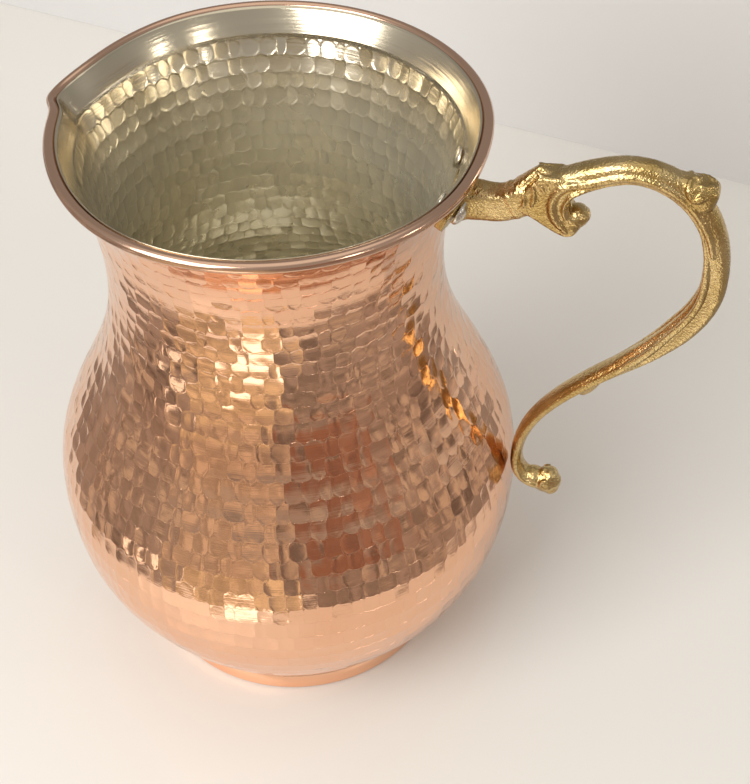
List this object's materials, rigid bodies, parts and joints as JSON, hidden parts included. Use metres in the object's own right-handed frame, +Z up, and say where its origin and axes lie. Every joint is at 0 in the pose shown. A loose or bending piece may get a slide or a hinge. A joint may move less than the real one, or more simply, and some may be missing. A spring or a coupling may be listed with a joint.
{
  "type": "copper jug",
  "caption": "Pear-bellied hammered copper jug with a rolled rim, a small pouring lip, a tinned inside and a scrolled cast brass handle.",
  "frame": {"origin": "centre of the flat foot, on the table", "axes": "+Z up along the jug's axis, +X towards the handle, -X towards the pouring lip"},
  "size_m": [0.2026, 0.148, 0.1998],
  "materials": {
    "copper": "hammered, polished",
    "spun_copper": "smooth, polished",
    "wire": "drawn",
    "tin": "wiped tin over hammer marks",
    "brass": "as cast, lightly polished",
    "tinned_copper": "smooth, domed by hammer"
  },
  "bodies": {
    "root": {"body_shell": "copper", "base_pan": "spun_copper", "rim_wire": "wire", "tin_lining": "tin", "handle": "brass", "rivet_near": "tinned_copper", "rivet_far": "tinned_copper"}
  },
  "joints": []
}
